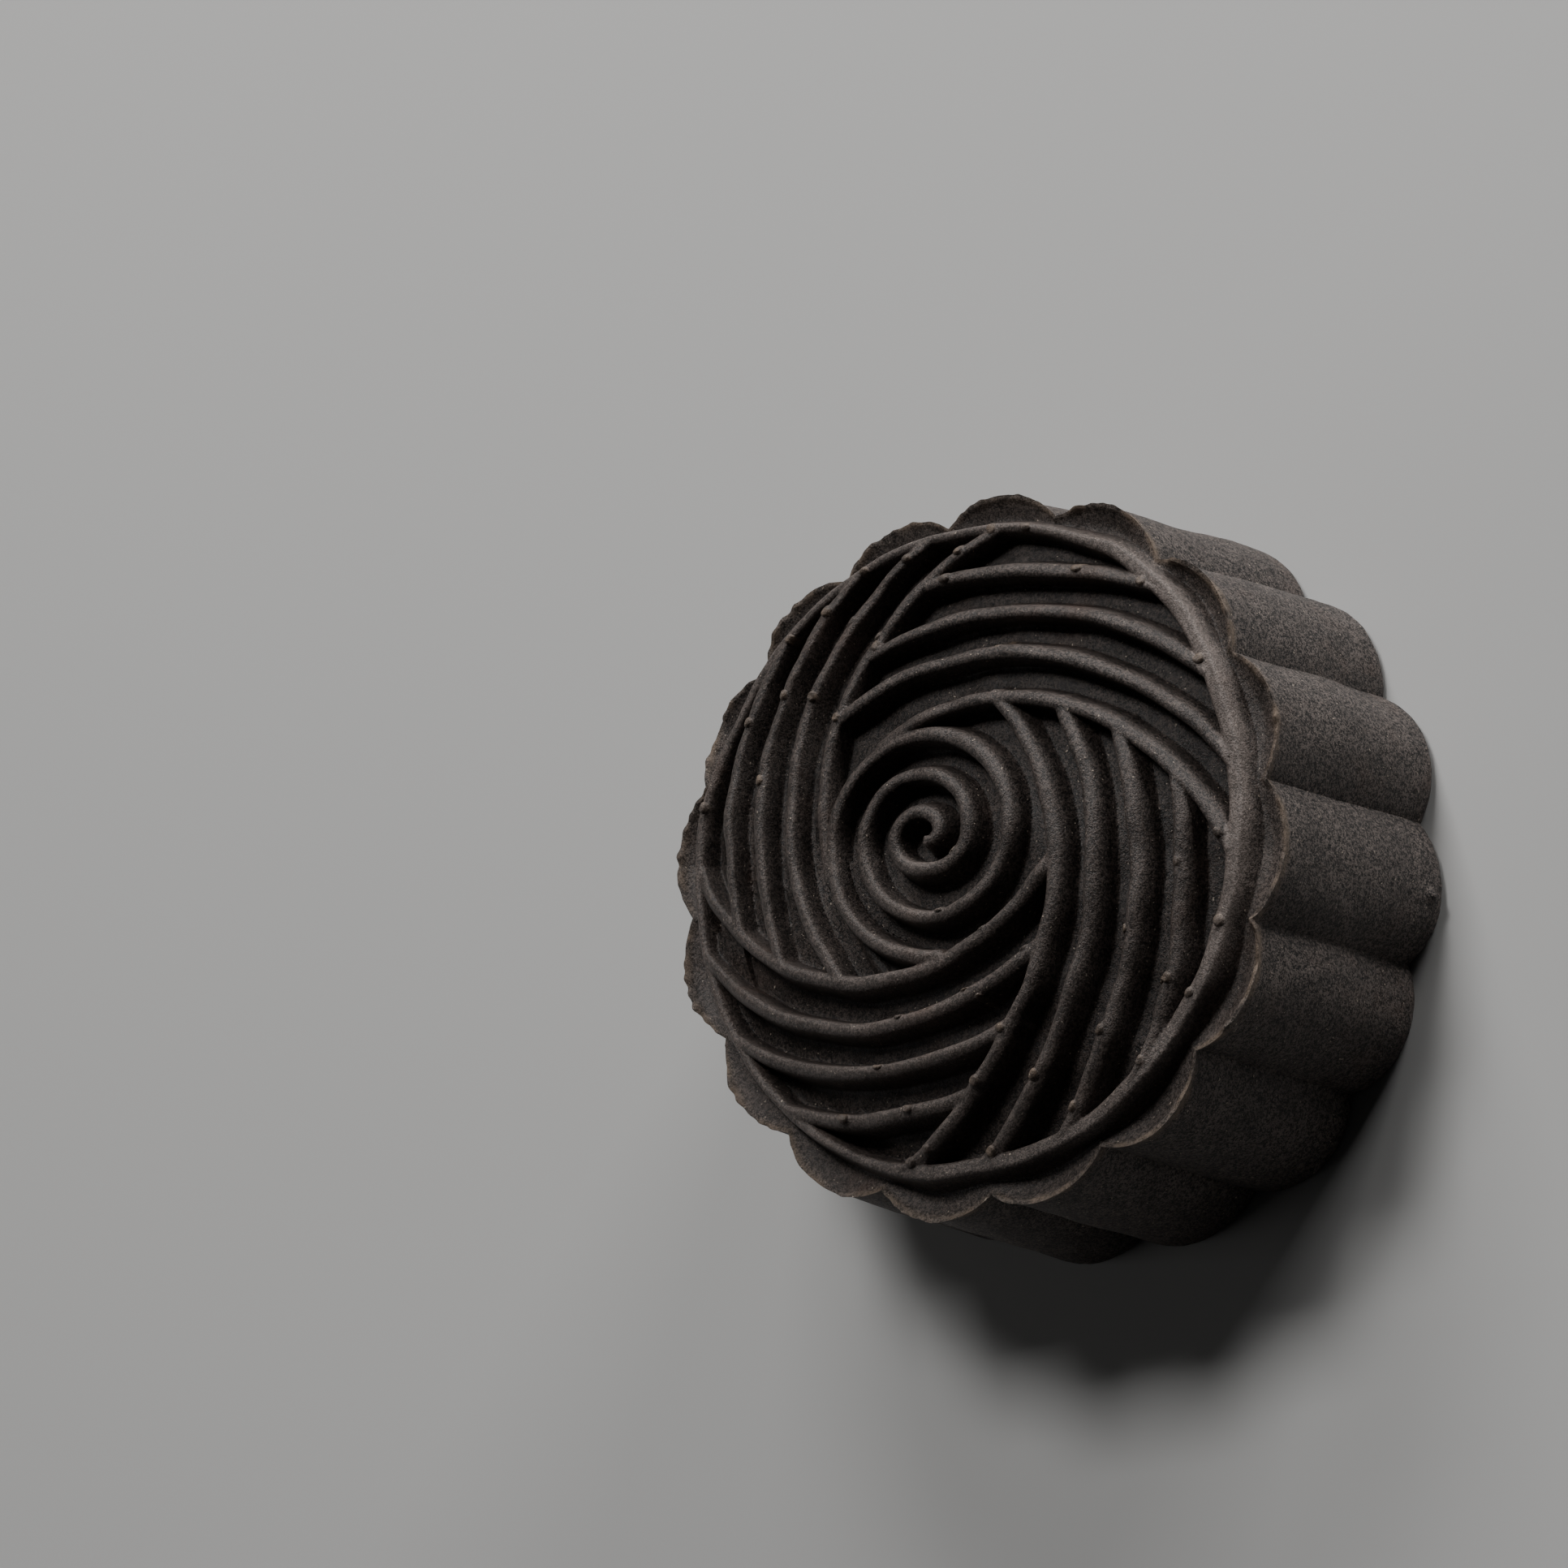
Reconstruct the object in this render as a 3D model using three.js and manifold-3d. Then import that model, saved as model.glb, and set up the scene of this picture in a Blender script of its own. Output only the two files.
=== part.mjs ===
// A moulded mooncake lying flat on its base: a drum of sixteen lobes under a low dome
// that carries a rose whirl, a spiral with four petals of curved ridges inside a ring cord.
// Millimetres, +Z up, origin in the middle of the base.
import * as THREE from 'three';
import { mergeVertices } from 'three/addons/utils/BufferGeometryUtils.js';
import Module from 'manifold-3d';

// Drum: lobes meet in cusps, and the wall flares a little towards the base.
const LOBES = 16;
const CUSP_RADIUS = 29.0;
const LOBE_BULGE = 1.9;
const RIM_HEIGHT = 22.4;
const BASE_FLARE = 0.054;
const BASE_EDGE_HEIGHT = 1.3;
const BASE_EDGE_INSET = 0.8;
const LOBE_SEGMENTS = 7;
const DRUM_LEVELS = [
  { height: 0, inset: BASE_EDGE_INSET },
  { height: 0.3 * BASE_EDGE_HEIGHT, inset: 0.3 * BASE_EDGE_INSET },
  { height: BASE_EDGE_HEIGHT, inset: 0 },
  { height: RIM_HEIGHT, inset: 0 },
];

// Face: height of the ridge crests over the rim, from the middle down to the ring cord.
const DOME_RISE = 5.8;
const RING_RISE = 1.7;
const DOME_POWER = 2.4;
const RING_RADIUS = 27.2;
const RING_CENTRE = new THREE.Vector2(0.15, 0.5);
const GROOVE_DEPTH = 2.5;

// The bed of the grooves reaches down into the drum, and its edge hides under the ring cord.
const BED_RADIUS = 24.6;
const BED_BOTTOM = RIM_HEIGHT - 1;
const BED_RINGS = 6;
const BED_SECTORS = 3 * LOBES;

// The whole rose is turned about the middle of the face.
const ROSE_TURN = THREE.MathUtils.degToRad(-56.25);

// Spiral in the heart of the rose.
const SPIRAL_CENTRE = new THREE.Vector2(-1.0, 1.05);
const SPIRAL_START_RADIUS = 1.3;
const SPIRAL_PITCH = 3.35;
const SPIRAL_FROM = 20;
const SPIRAL_TO = 965;

// Petals: four ridges each, from the inmost to the outmost, and each petal a quarter turn
// on from the one before. A ridge starts at a radius and bearing, ends on the ring cord at
// a bearing, and bends as an arc of the radius given. lean pulls its first half outwards.
const PETAL_STEP = -90;
const PETALS = [
  [
    { radius: 11.6, from: 111, to: -12, bend: 27.5, lean: 0.4 },
    { radius: 16.2, from: 126, to: 3, bend: 30.5, lean: 0 },
    { radius: 19.5, from: 107, to: 18, bend: 35.0, lean: 0 },
    { radius: 23.1, from: 94, to: 40, bend: 45.0, lean: 0 },
  ],
  [
    { radius: 12.8, from: 151, to: -16, bend: 24.3, lean: 1.1 },
    { radius: 15.7, from: 125, to: -1, bend: 30.0, lean: 0 },
    { radius: 18.3, from: 109, to: 15, bend: 32.3, lean: 0 },
    { radius: 21.9, from: 97, to: 36, bend: 33.8, lean: 0 },
  ],
  [
    { radius: 10.5, from: 171, to: 0, bend: 23.2, lean: 0.8 },
    { radius: 13.1, from: 129, to: 14, bend: 29.3, lean: 0 },
    { radius: 16.8, from: 106, to: 25, bend: 31.2, lean: 0 },
    { radius: 20.6, from: 90, to: 40, bend: 26.0, lean: 0 },
  ],
  [
    { radius: 12.8, from: 138, to: -12, bend: 24.8, lean: 0 },
    { radius: 15.1, from: 126, to: 3, bend: 25.7, lean: 0 },
    { radius: 19.2, from: 108, to: 19, bend: 29.0, lean: 0 },
    { radius: 23.1, from: 97, to: 38, bend: 27.0, lean: 0 },
  ],
];

// Section across a ridge: a rounded crest on flanks that spread towards the foot.
const RIDGE_FOOT = -GROOVE_DEPTH - 0.9;
const RIDGE_SECTION = [
  [-1.55, RIDGE_FOOT],
  [-0.8, -0.75],
  [-0.38, -0.1],
  [0.38, -0.1],
  [0.8, -0.75],
  [1.55, RIDGE_FOOT],
];
const RIDGE_STEP = 2.3;

// A ridge dips at both ends, where it runs into the flank of another.
const END_DIP = 0.35;
const END_SHARE = 0.1;

// The ring cord falls more steeply on its outer side, to a narrow ledge along the lobes.
// Its section runs from the outer foot to the inner one, as a lathe needs it.
const RING_FOOT = -RING_RISE - 0.6;
const RING_SECTION = [
  [1.15, RING_FOOT],
  [0.8, -0.75],
  [0.38, -0.1],
  [-0.38, -0.1],
  [-0.8, -0.75],
  [-1.55, RING_FOOT],
];
const RING_SECTORS = 5 * LOBES;

// The spiral starts thin, because its first turn is tight.
const SPIRAL_STEP = 1.7;
const SPIRAL_START_WIDTH = 0.55;
const SPIRAL_WIDENS_BY = 0.25;

// Corners closer together than this are one corner.
const SHARED_CORNER = 0.0001;

const manifold = await Module();
manifold.setup();

/** A point at a distance and a bearing in degrees from the middle of the face. */
function polar(radius, bearing) {
  const angle = THREE.MathUtils.degToRad(bearing);
  return new THREE.Vector2(radius * Math.cos(angle), radius * Math.sin(angle));
}

/** Height of a ridge crest at a distance from the middle of the face. */
function crestHeight(radius) {
  const share = Math.min(radius / RING_RADIUS, 1);
  return RIM_HEIGHT + DOME_RISE - (DOME_RISE - RING_RISE) * share ** DOME_POWER;
}

/** The crest of a petal's ridge in plan: an arc that bulges to the left of its chord. */
class RidgeArc extends THREE.Curve {
  constructor(start, end, bend, lean) {
    super();
    const chord = end.clone().sub(start);
    this.start = start;
    this.bend = bend;
    this.lean = lean;
    this.length = chord.length();
    this.along = chord.divideScalar(this.length);
    this.left = new THREE.Vector2(-this.along.y, this.along.x);
    this.half = Math.asin(Math.min(this.length / (2 * bend), 1));
  }

  getPoint(t, target = new THREE.Vector2()) {
    const angle = this.half * (2 * t - 1);
    const forward = this.length / 2 + this.bend * Math.sin(angle);
    const sideways = this.bend * (Math.cos(angle) - Math.cos(this.half))
      + this.lean * Math.sin(2 * Math.PI * t);
    return target.copy(this.start)
      .addScaledVector(this.along, forward)
      .addScaledVector(this.left, sideways);
  }
}

/** The spiral's crest in plan. */
class Spiral extends THREE.Curve {
  getPoint(t, target = new THREE.Vector2()) {
    const bearing = THREE.MathUtils.lerp(SPIRAL_FROM, SPIRAL_TO, t);
    const radius = SPIRAL_START_RADIUS + SPIRAL_PITCH * bearing / 360;
    return target.copy(polar(radius, bearing)).add(SPIRAL_CENTRE);
  }
}

/** Merges a closed mesh's shared corners and makes it a solid for joining. */
function solid(geometry) {
  geometry.deleteAttribute('normal');
  geometry.deleteAttribute('uv');
  const merged = mergeVertices(geometry, SHARED_CORNER);
  return new manifold.Manifold(new manifold.Mesh({
    numProp: 3,
    vertProperties: merged.attributes.position.array,
    triVerts: new Uint32Array(merged.index.array),
  }));
}

/** Moves every corner of a straight extrusion to where place(x, y, t) puts it. */
function reshape(geometry, place) {
  const position = geometry.attributes.position;
  for (let i = 0; i < position.count; i += 1) {
    const point = place(position.getX(i), position.getY(i), position.getZ(i));
    position.setXYZ(i, point.x, point.y, point.z);
  }
  return geometry;
}

/** A ridge of the rose along a plan curve, with its crest on the dome. width(t) scales it. */
function ridge(curve, step, width = () => 1) {
  const section = new THREE.Shape(RIDGE_SECTION.map(([x, y]) => new THREE.Vector2(x, y)));
  const steps = Math.ceil(curve.getLength() / step);
  const straight = new THREE.ExtrudeGeometry(section, { depth: 1, steps, bevelEnabled: false });
  const swept = reshape(straight, (side, height, t) => {
    const share = THREE.MathUtils.clamp(t, 0, 1);
    const crest = curve.getPoint(share);
    const heading = curve.getTangent(share).multiplyScalar(side * width(share));
    const dip = END_DIP * Math.max(0, 1 - Math.min(share, 1 - share) / END_SHARE);
    return new THREE.Vector3(
      crest.x - heading.y,
      crest.y + heading.x,
      crestHeight(crest.length()) + height - dip,
    );
  });
  return solid(swept.rotateZ(ROSE_TURN));
}

/** The ring cord, its section swept right round by a lathe. */
function ringCord() {
  const crest = RIM_HEIGHT + RING_RISE;
  const profile = RING_SECTION.map(([x, y]) => new THREE.Vector2(RING_RADIUS + x, crest + y));
  profile.push(profile[0].clone());
  const lathe = new THREE.LatheGeometry(profile, RING_SECTORS);
  lathe.rotateX(Math.PI / 2);
  lathe.translate(RING_CENTRE.x, RING_CENTRE.y, 0);
  return solid(lathe.rotateZ(ROSE_TURN));
}

/** The bed of the grooves, a low lens on top of the drum. */
function grooveBed() {
  const profile = [new THREE.Vector2(0, BED_BOTTOM), new THREE.Vector2(BED_RADIUS, BED_BOTTOM)];
  for (let ring = BED_RINGS; ring >= 0; ring -= 1) {
    const radius = BED_RADIUS * ring / BED_RINGS;
    profile.push(new THREE.Vector2(radius, crestHeight(radius) - GROOVE_DEPTH));
  }
  const lathe = new THREE.LatheGeometry(profile, BED_SECTORS);
  lathe.rotateX(Math.PI / 2);
  return solid(lathe);
}

/** Plan outline of the drum at the rim, one arc for each lobe. */
function lobedOutline() {
  const halfAngle = Math.PI / LOBES;
  const halfChord = CUSP_RADIUS * Math.sin(halfAngle);
  const sagitta = CUSP_RADIUS + LOBE_BULGE - CUSP_RADIUS * Math.cos(halfAngle);
  const lobeRadius = (halfChord ** 2 + sagitta ** 2) / (2 * sagitta);
  const centreRadius = CUSP_RADIUS + LOBE_BULGE - lobeRadius;
  const sweep = Math.atan2(halfChord, CUSP_RADIUS * Math.cos(halfAngle) - centreRadius);
  const outline = new THREE.Shape();
  for (let lobe = 0; lobe < LOBES; lobe += 1) {
    const bearing = 2 * halfAngle * lobe;
    outline.absarc(
      centreRadius * Math.cos(bearing),
      centreRadius * Math.sin(bearing),
      lobeRadius,
      bearing - sweep,
      bearing + sweep,
    );
  }
  return outline;
}

/** The drum: flat on top and below, flared, with its bottom edge rounded in. */
function drum() {
  const steps = DRUM_LEVELS.length - 1;
  const straight = new THREE.ExtrudeGeometry(lobedOutline(), {
    depth: steps,
    steps,
    curveSegments: LOBE_SEGMENTS,
    bevelEnabled: false,
  });
  return solid(reshape(straight, (x, y, level) => {
    const { height, inset } = DRUM_LEVELS[Math.round(level)];
    const flare = 1 + BASE_FLARE * (1 - height / RIM_HEIGHT);
    const scale = flare - inset / Math.hypot(x, y);
    return new THREE.Vector3(x * scale, y * scale, height);
  }));
}

/** The rose whirl: spiral and petals, joined. */
function rose() {
  const widening = (t) => {
    const share = Math.min(t / SPIRAL_WIDENS_BY, 1);
    return THREE.MathUtils.lerp(SPIRAL_START_WIDTH, 1, share);
  };
  let whirl = ridge(new Spiral(), SPIRAL_STEP, widening);
  PETALS.forEach((ridges, petal) => {
    const turn = PETAL_STEP * petal;
    for (const { radius, from, to, bend, lean } of ridges) {
      const start = polar(radius, from + turn);
      const end = polar(RING_RADIUS, to + turn).add(RING_CENTRE);
      whirl = whirl.add(ridge(new RidgeArc(start, end, bend, lean), RIDGE_STEP));
    }
  });
  return whirl;
}

/** The joined solid's surface as a mesh geometry. */
function surface(body) {
  const { numProp, vertProperties, triVerts } = body.getMesh();
  const geometry = new THREE.BufferGeometry();
  const corners = new Float32Array(vertProperties.length / numProp * 3);
  for (let i = 0; i < corners.length / 3; i += 1) {
    corners.set(vertProperties.subarray(i * numProp, i * numProp + 3), i * 3);
  }
  geometry.setAttribute('position', new THREE.BufferAttribute(corners, 3));
  geometry.setIndex(new THREE.BufferAttribute(new Uint32Array(triVerts), 1));
  geometry.computeVertexNormals();
  return geometry;
}

const relief = rose().add(ringCord()).add(grooveBed());
const crust = new THREE.MeshStandardMaterial({ color: 0x3b3634, roughness: 0.72, metalness: 0 });
const mooncake = new THREE.Mesh(surface(drum().add(relief)), crust);
mooncake.name = 'mooncake';

const group = new THREE.Group();
group.add(mooncake);

export default group;
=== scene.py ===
"""A dark moulded mooncake that lies flat on its base, with the rose whirl on its face up.

The crust is one closed piece. Its face is a height over the plan, worked out from the crests of the
whirl's ridges, and its wall is a ring of lobes. Sizes are in metres, in the frame of the CAD part.
Bearings are degrees in the rose's own frame, which is turned against the part's.
"""
from __future__ import annotations

import logging
import math
from dataclasses import dataclass, field
from enum import Enum
from functools import cached_property

import bpy
import numpy as np
from mathutils import Matrix, Vector


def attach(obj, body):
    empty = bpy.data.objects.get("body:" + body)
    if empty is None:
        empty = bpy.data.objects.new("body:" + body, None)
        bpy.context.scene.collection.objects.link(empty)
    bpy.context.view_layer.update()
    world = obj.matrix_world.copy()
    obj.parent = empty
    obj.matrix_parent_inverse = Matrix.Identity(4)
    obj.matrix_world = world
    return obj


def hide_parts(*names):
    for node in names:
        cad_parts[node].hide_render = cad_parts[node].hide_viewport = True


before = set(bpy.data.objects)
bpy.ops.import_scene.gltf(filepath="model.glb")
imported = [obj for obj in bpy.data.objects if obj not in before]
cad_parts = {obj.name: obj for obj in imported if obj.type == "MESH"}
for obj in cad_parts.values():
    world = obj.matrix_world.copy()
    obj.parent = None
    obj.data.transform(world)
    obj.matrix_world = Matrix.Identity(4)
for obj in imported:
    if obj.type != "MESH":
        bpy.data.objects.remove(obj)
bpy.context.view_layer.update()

LOG = logging.getLogger("mooncake")
Place = tuple[float, float]
Colour = tuple[float, float, float, float]

MM = 0.001
WHITE = (1.0, 1.0, 1.0, 1.0)
ZERO_LIMIT = 1e-9
LEAST_EXPONENT = -40.0

# Turn of the rose in the part's frame, in degrees.
ROSE_TURN = -56.25
# Height of the rim over the base.
RIM_HEIGHT = 22.4 * MM
# Middle of the spiral.
HEART = (-0.73 * MM, 0.91 * MM)

# Half the height of the cylinder that the wall is made from.
CYLINDER_TOP = 0.5
# Mean of a noise texture.
NOISE_MEAN = 0.5
# Colour sockets of the Mix node, which share their names with its other sockets.
MIX_FIRST, MIX_SECOND, MIX_RESULT = 6, 7, 2


def smooth_step(value: np.ndarray) -> np.ndarray:
    """Eases from 0 to 1 while the value goes from 0 to 1."""
    share = np.clip(value, 0.0, 1.0)
    return share * share * (3.0 - 2.0 * share)


def polar(radius: float, bearing: float) -> np.ndarray:
    """The point at a distance and a bearing in degrees."""
    angle = math.radians(bearing)
    return radius * np.array([math.cos(angle), math.sin(angle)])


def headings(angle: np.ndarray) -> np.ndarray:
    """Steps of length one at angles in radians, as rows of two coordinates."""
    return np.stack([np.cos(angle), np.sin(angle)], axis=1)


def turned(plan: np.ndarray, degrees: float) -> np.ndarray:
    """Turns places in plan about the origin."""
    cosine, sine = math.cos(math.radians(degrees)), math.sin(math.radians(degrees))
    x, y = plan.T
    return np.stack([cosine * x - sine * y, sine * x + cosine * y], axis=1)


def bearing_gap(bearing: np.ndarray, other: float) -> np.ndarray:
    """The signed difference of two bearings, between -180 and 180 degrees."""
    return (bearing - other + 180.0) % 360.0 - 180.0


def highest(levels: list[np.ndarray], fillet: float) -> np.ndarray:
    """The highest of several surfaces, with a small fillet where they meet.

    Args:
        levels: Heights of the surfaces at the same places.
        fillet: Size of the fillet.

    Returns:
        The height of the joined surface.
    """
    top = np.maximum.reduce(levels)
    total = np.zeros(len(top))
    for level in levels:
        total += np.exp(np.maximum((level - top) / fillet, LEAST_EXPONENT))
    return top + fillet * np.log(total)


@dataclass(frozen=True)
class Unevenness:
    """Soft irregular swelling of a hand-pressed surface, a sum of seeded waves.

    Attributes:
        wavelength: Typical length of a swell.
        depth: How far the surface departs from its even shape.
        seed: Start of the random directions and phases.
        waves: How many waves are summed.
        stretch: Shortest and longest wave as shares of the typical length.
    """

    wavelength: float
    depth: float
    seed: int
    waves: int = 20
    stretch: tuple[float, float] = (0.7, 1.5)

    def at(self, points: np.ndarray) -> np.ndarray:
        """Works out the swelling.

        Args:
            points: Places as rows of two or three coordinates.

        Returns:
            One signed height for each place.
        """
        dice = np.random.default_rng(self.seed)
        heading = dice.normal(size=(self.waves, points.shape[1]))
        heading /= np.linalg.norm(heading, axis=1, keepdims=True)
        pace = 2.0 * math.pi / (self.wavelength * dice.uniform(*self.stretch, self.waves))
        phase = dice.uniform(0.0, 2.0 * math.pi, self.waves)
        total = np.zeros(len(points))
        for direction, step, start in zip(heading, pace, phase):
            total += np.sin(points @ (direction * step) + start)
        return self.depth * total / math.sqrt(self.waves / 2.0)


@dataclass(frozen=True)
class RidgeSection:
    """Section across a ridge: a rounded crest on two flanks.

    Attributes:
        inner_bead: Radius of the crest on the side towards the middle of the face.
        outer_bead: Radius of the crest on the other side.
        inner_lean: Angle between the inner flank and the upright.
        outer_lean: Angle between the outer flank and the upright.
        flat: Width of the flat top on the outer side of the crest.
    """

    inner_bead: float
    outer_bead: float
    inner_lean: float
    outer_lean: float
    flat: float = 0.0

    def fall(self, offset: np.ndarray, flat_share: np.ndarray | float = 1.0) -> np.ndarray:
        """Works out how far the surface lies below the crest.

        Args:
            offset: Distance from the crest in plan, positive outwards.
            flat_share: How much of the flat top there is.

        Returns:
            The fall, positive downwards.
        """
        inside = self._flank(np.abs(offset), self.inner_bead, self.inner_lean)
        past_flat = np.maximum(offset - self.flat * flat_share, 0.0)
        outside = self._flank(past_flat, self.outer_bead, self.outer_lean)
        return np.where(offset < 0.0, inside, outside)

    @staticmethod
    def _flank(distance: np.ndarray, bead: float, lean: float) -> np.ndarray:
        """Fall of one side: an arc of the bead, then a straight flank that touches it."""
        slope = math.radians(lean)
        touch = bead * math.cos(slope)
        arc = bead - np.sqrt(np.maximum(bead**2 - np.minimum(distance, touch) ** 2, 0.0))
        return arc + np.maximum(distance - touch, 0.0) / math.tan(slope)


@dataclass(frozen=True)
class Bulge:
    """A stretch of a ring or a spiral that stands further out or in than the rest.

    Attributes:
        bearing: Bearing of its middle, on a spiral counted through all turns.
        spread: Half of its width in degrees.
        amount: How far it stands out.
    """

    bearing: float
    spread: float
    amount: float

    def on_ring(self, bearing: np.ndarray) -> np.ndarray:
        """How far a ring stands out at a bearing."""
        return self._swell(bearing_gap(bearing, self.bearing))

    def on_spiral(self, bearing: np.ndarray) -> np.ndarray:
        """How far a spiral stands out at a bearing counted through all turns."""
        return self._swell(bearing - self.bearing)

    def _swell(self, gap: np.ndarray) -> np.ndarray:
        """How far the line stands out at some degrees from the middle."""
        return self.amount * np.exp(-((gap / self.spread) ** 2))


@dataclass(frozen=True)
class RingCord:
    """The cord that frames the whirl, slightly out of round."""

    centre: Place = (-0.72 * MM, 0.15 * MM)
    radius: float = 27.25 * MM
    oval: float = 0.22 * MM
    oval_bearing: float = 135.0
    rise: float = 1.7 * MM
    section: RidgeSection = RidgeSection(0.5 * MM, 0.42 * MM, 12.0, 17.0, 0.5 * MM)
    bulges: tuple[Bulge, ...] = (
        Bulge(42.0, 30.0, 0.95 * MM),
        Bulge(168.0, 18.0, 0.45 * MM),
        Bulge(271.0, 14.0, -0.6 * MM),
        Bulge(-18.0, 26.0, 0.2 * MM),
    )
    # The stretch that has no flat top: its middle, half of its length, and how softly it ends.
    narrow_bearing: float = 153.0
    narrow_reach: float = 88.0
    narrow_ease: float = 20.0

    def measure(self, plan: np.ndarray) -> tuple[np.ndarray, np.ndarray]:
        """Measures places against the crest.

        Args:
            plan: Places as rows of two coordinates.

        Returns:
            The offset from the crest, positive outwards, and the distance from the ring's middle as
            a share of the crest's.
        """
        x, y = (plan - np.array(self.centre)).T
        bearing = np.arctan2(y, x)
        crest = self.radius + self.oval * np.cos(2.0 * (bearing - math.radians(self.oval_bearing)))
        for bulge in self.bulges:
            crest = crest + bulge.on_ring(np.degrees(bearing))
        distance = np.hypot(x, y)
        return distance - crest, distance / crest

    def flat_share(self, plan: np.ndarray) -> np.ndarray:
        """How much of the flat top the cord has at places, from 0 to 1."""
        bearing = np.degrees(np.arctan2(plan[:, 1], plan[:, 0]))
        beyond = np.abs(bearing_gap(bearing, self.narrow_bearing)) - self.narrow_reach
        return smooth_step(beyond / self.narrow_ease)


@dataclass(frozen=True)
class Dome:
    """The low dome that all crests of the whirl lie on."""

    rim_height: float = RIM_HEIGHT
    rise: float = 5.8 * MM
    # How suddenly it falls towards its edge.
    power: float = 2.4
    groove_depth: float = 2.4 * MM

    def crest(self, share: np.ndarray, edge_rise: float) -> np.ndarray:
        """Height of the crests.

        Args:
            share: Distance from the middle as a share of the ring cord's.
            edge_rise: Height of the ring cord over the rim.

        Returns:
            The heights over the base.
        """
        fall = (self.rise - edge_rise) * np.minimum(share, 1.0) ** self.power
        return self.rim_height + self.rise - fall


@dataclass(frozen=True)
class PetalRidge:
    """One curved ridge of a petal, which starts on another ridge and runs into the ring cord.

    Attributes:
        radius: Distance of its start from the middle of the face.
        start: Bearing of its start.
        end: Bearing of its end.
        bend: Radius of its arc, which bulges outwards.
        lean: How far its first half is pulled outwards.
        sink: How far its start lies below the other crests.
        sunk_length: Length of the part that stays sunk.
        rise_length: Length over which it then rises.
        reach: Radius of the circle that its arc runs to.
        reach_centre: Middle of that circle.
        overrun: Where it ends, past that circle, as a share of its arc.
    """

    radius: float
    start: float
    end: float
    bend: float
    lean: float = 0.0
    sink: float = 0.12 * MM
    sunk_length: float = 0.0
    rise_length: float = 1.6 * MM
    reach: float = 27.2 * MM
    reach_centre: Place = (0.15 * MM, 0.5 * MM)
    overrun: float = 1.12

    def measure(self, plan: np.ndarray, turn: float) -> tuple[np.ndarray, np.ndarray]:
        """Measures places against the crest.

        Args:
            plan: Places as rows of two coordinates.
            turn: How far its petal is turned.

        Returns:
            The offset from the crest, positive outwards, and how far the crest is sunk there. Past
            an end the offset is the distance from that end.
        """
        head = polar(self.radius, self.start + turn)
        foot = polar(self.reach, self.end + turn) + np.array(self.reach_centre)
        chord = foot - head
        length = float(np.hypot(*chord))
        along = chord / length
        left = np.array([-along[1], along[0]])
        half = math.asin(min(length / (2.0 * self.bend), 1.0))
        forward = (plan - head) @ along - length / 2.0
        sideways = (plan - head) @ left + self.bend * math.cos(half)
        share = (np.arctan2(forward, sideways) / half + 1.0) / 2.0
        pull = self.lean * np.sin(2.0 * math.pi * np.clip(share, 0.0, 1.0))
        offset = np.hypot(forward, sideways) - self.bend - pull
        last_angle = half * (2.0 * self.overrun - 1.0)
        last = head + along * (length / 2.0 + self.bend * math.sin(last_angle))
        last = last + left * self.bend * (math.cos(last_angle) - math.cos(half))
        before = np.hypot(*(plan - head).T)
        beyond = np.hypot(*(plan - last).T)
        offset = np.where(share < 0.0, np.copysign(before, offset), offset)
        offset = np.where(share > self.overrun, np.copysign(beyond, offset), offset)
        way = np.clip(share, 0.0, self.overrun) * 2.0 * half * self.bend
        sunk = self.sink * (1.0 - smooth_step((way - self.sunk_length) / self.rise_length))
        return offset, sunk


@dataclass(frozen=True)
class Spiral:
    """The spiral in the heart of the rose, which opens anticlockwise and is slightly oval."""

    centre: Place = HEART
    start_radius: float = 0.96 * MM
    pitch: float = 3.5 * MM
    oval: float = 0.034
    oval_bearing: float = -17.7
    # Where the crest starts and ends, counted through all turns.
    first: float = -48.0
    last: float = 992.0
    bends: tuple[Bulge, ...] = (
        Bulge(0.0, 60.0, 0.28 * MM),
        Bulge(197.0, 36.0, 0.28 * MM),
        Bulge(276.0, 50.0, -0.62 * MM),
        Bulge(360.0, 45.0, -0.24 * MM),
    )

    def measure(self, plan: np.ndarray) -> np.ndarray:
        """Offset of places from the nearest turn of the crest, positive outwards."""
        x, y = (plan - np.array(self.centre)).T
        bearing = np.degrees(np.arctan2(y, x)) % 360.0
        radius = np.hypot(x, y)
        best = np.full(len(plan), np.inf)
        for turn in range(int(self.first // 360.0), int(self.last // 360.0) + 1):
            through = bearing + 360.0 * turn
            on = np.clip(through, self.first, self.last)
            angle = np.radians(on)
            crest = self.start_radius + self.pitch * on / 360.0
            crest = crest * (1.0 + self.oval * np.cos(2.0 * (angle - math.radians(self.oval_bearing))))
            for bend in self.bends:
                crest = crest + bend.on_spiral(on)
            square = crest / np.hypot(crest, self.pitch / (2.0 * math.pi))
            apart = np.hypot(x - crest * np.cos(angle), y - crest * np.sin(angle))
            offset = np.where(on == through, (radius - crest) * square, np.copysign(apart, radius - crest))
            best = np.where(np.abs(offset) < np.abs(best), offset, best)
        return best


class VentMark(Enum):
    """What a vent of the mould left on the face, with its height as a share of its width."""

    # A small round bead.
    BEAD = 0.36
    # A bead with a dimple in it.
    CUP = 0.34
    # A bead that broke off short.
    CRUMB = 0.2


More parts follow.
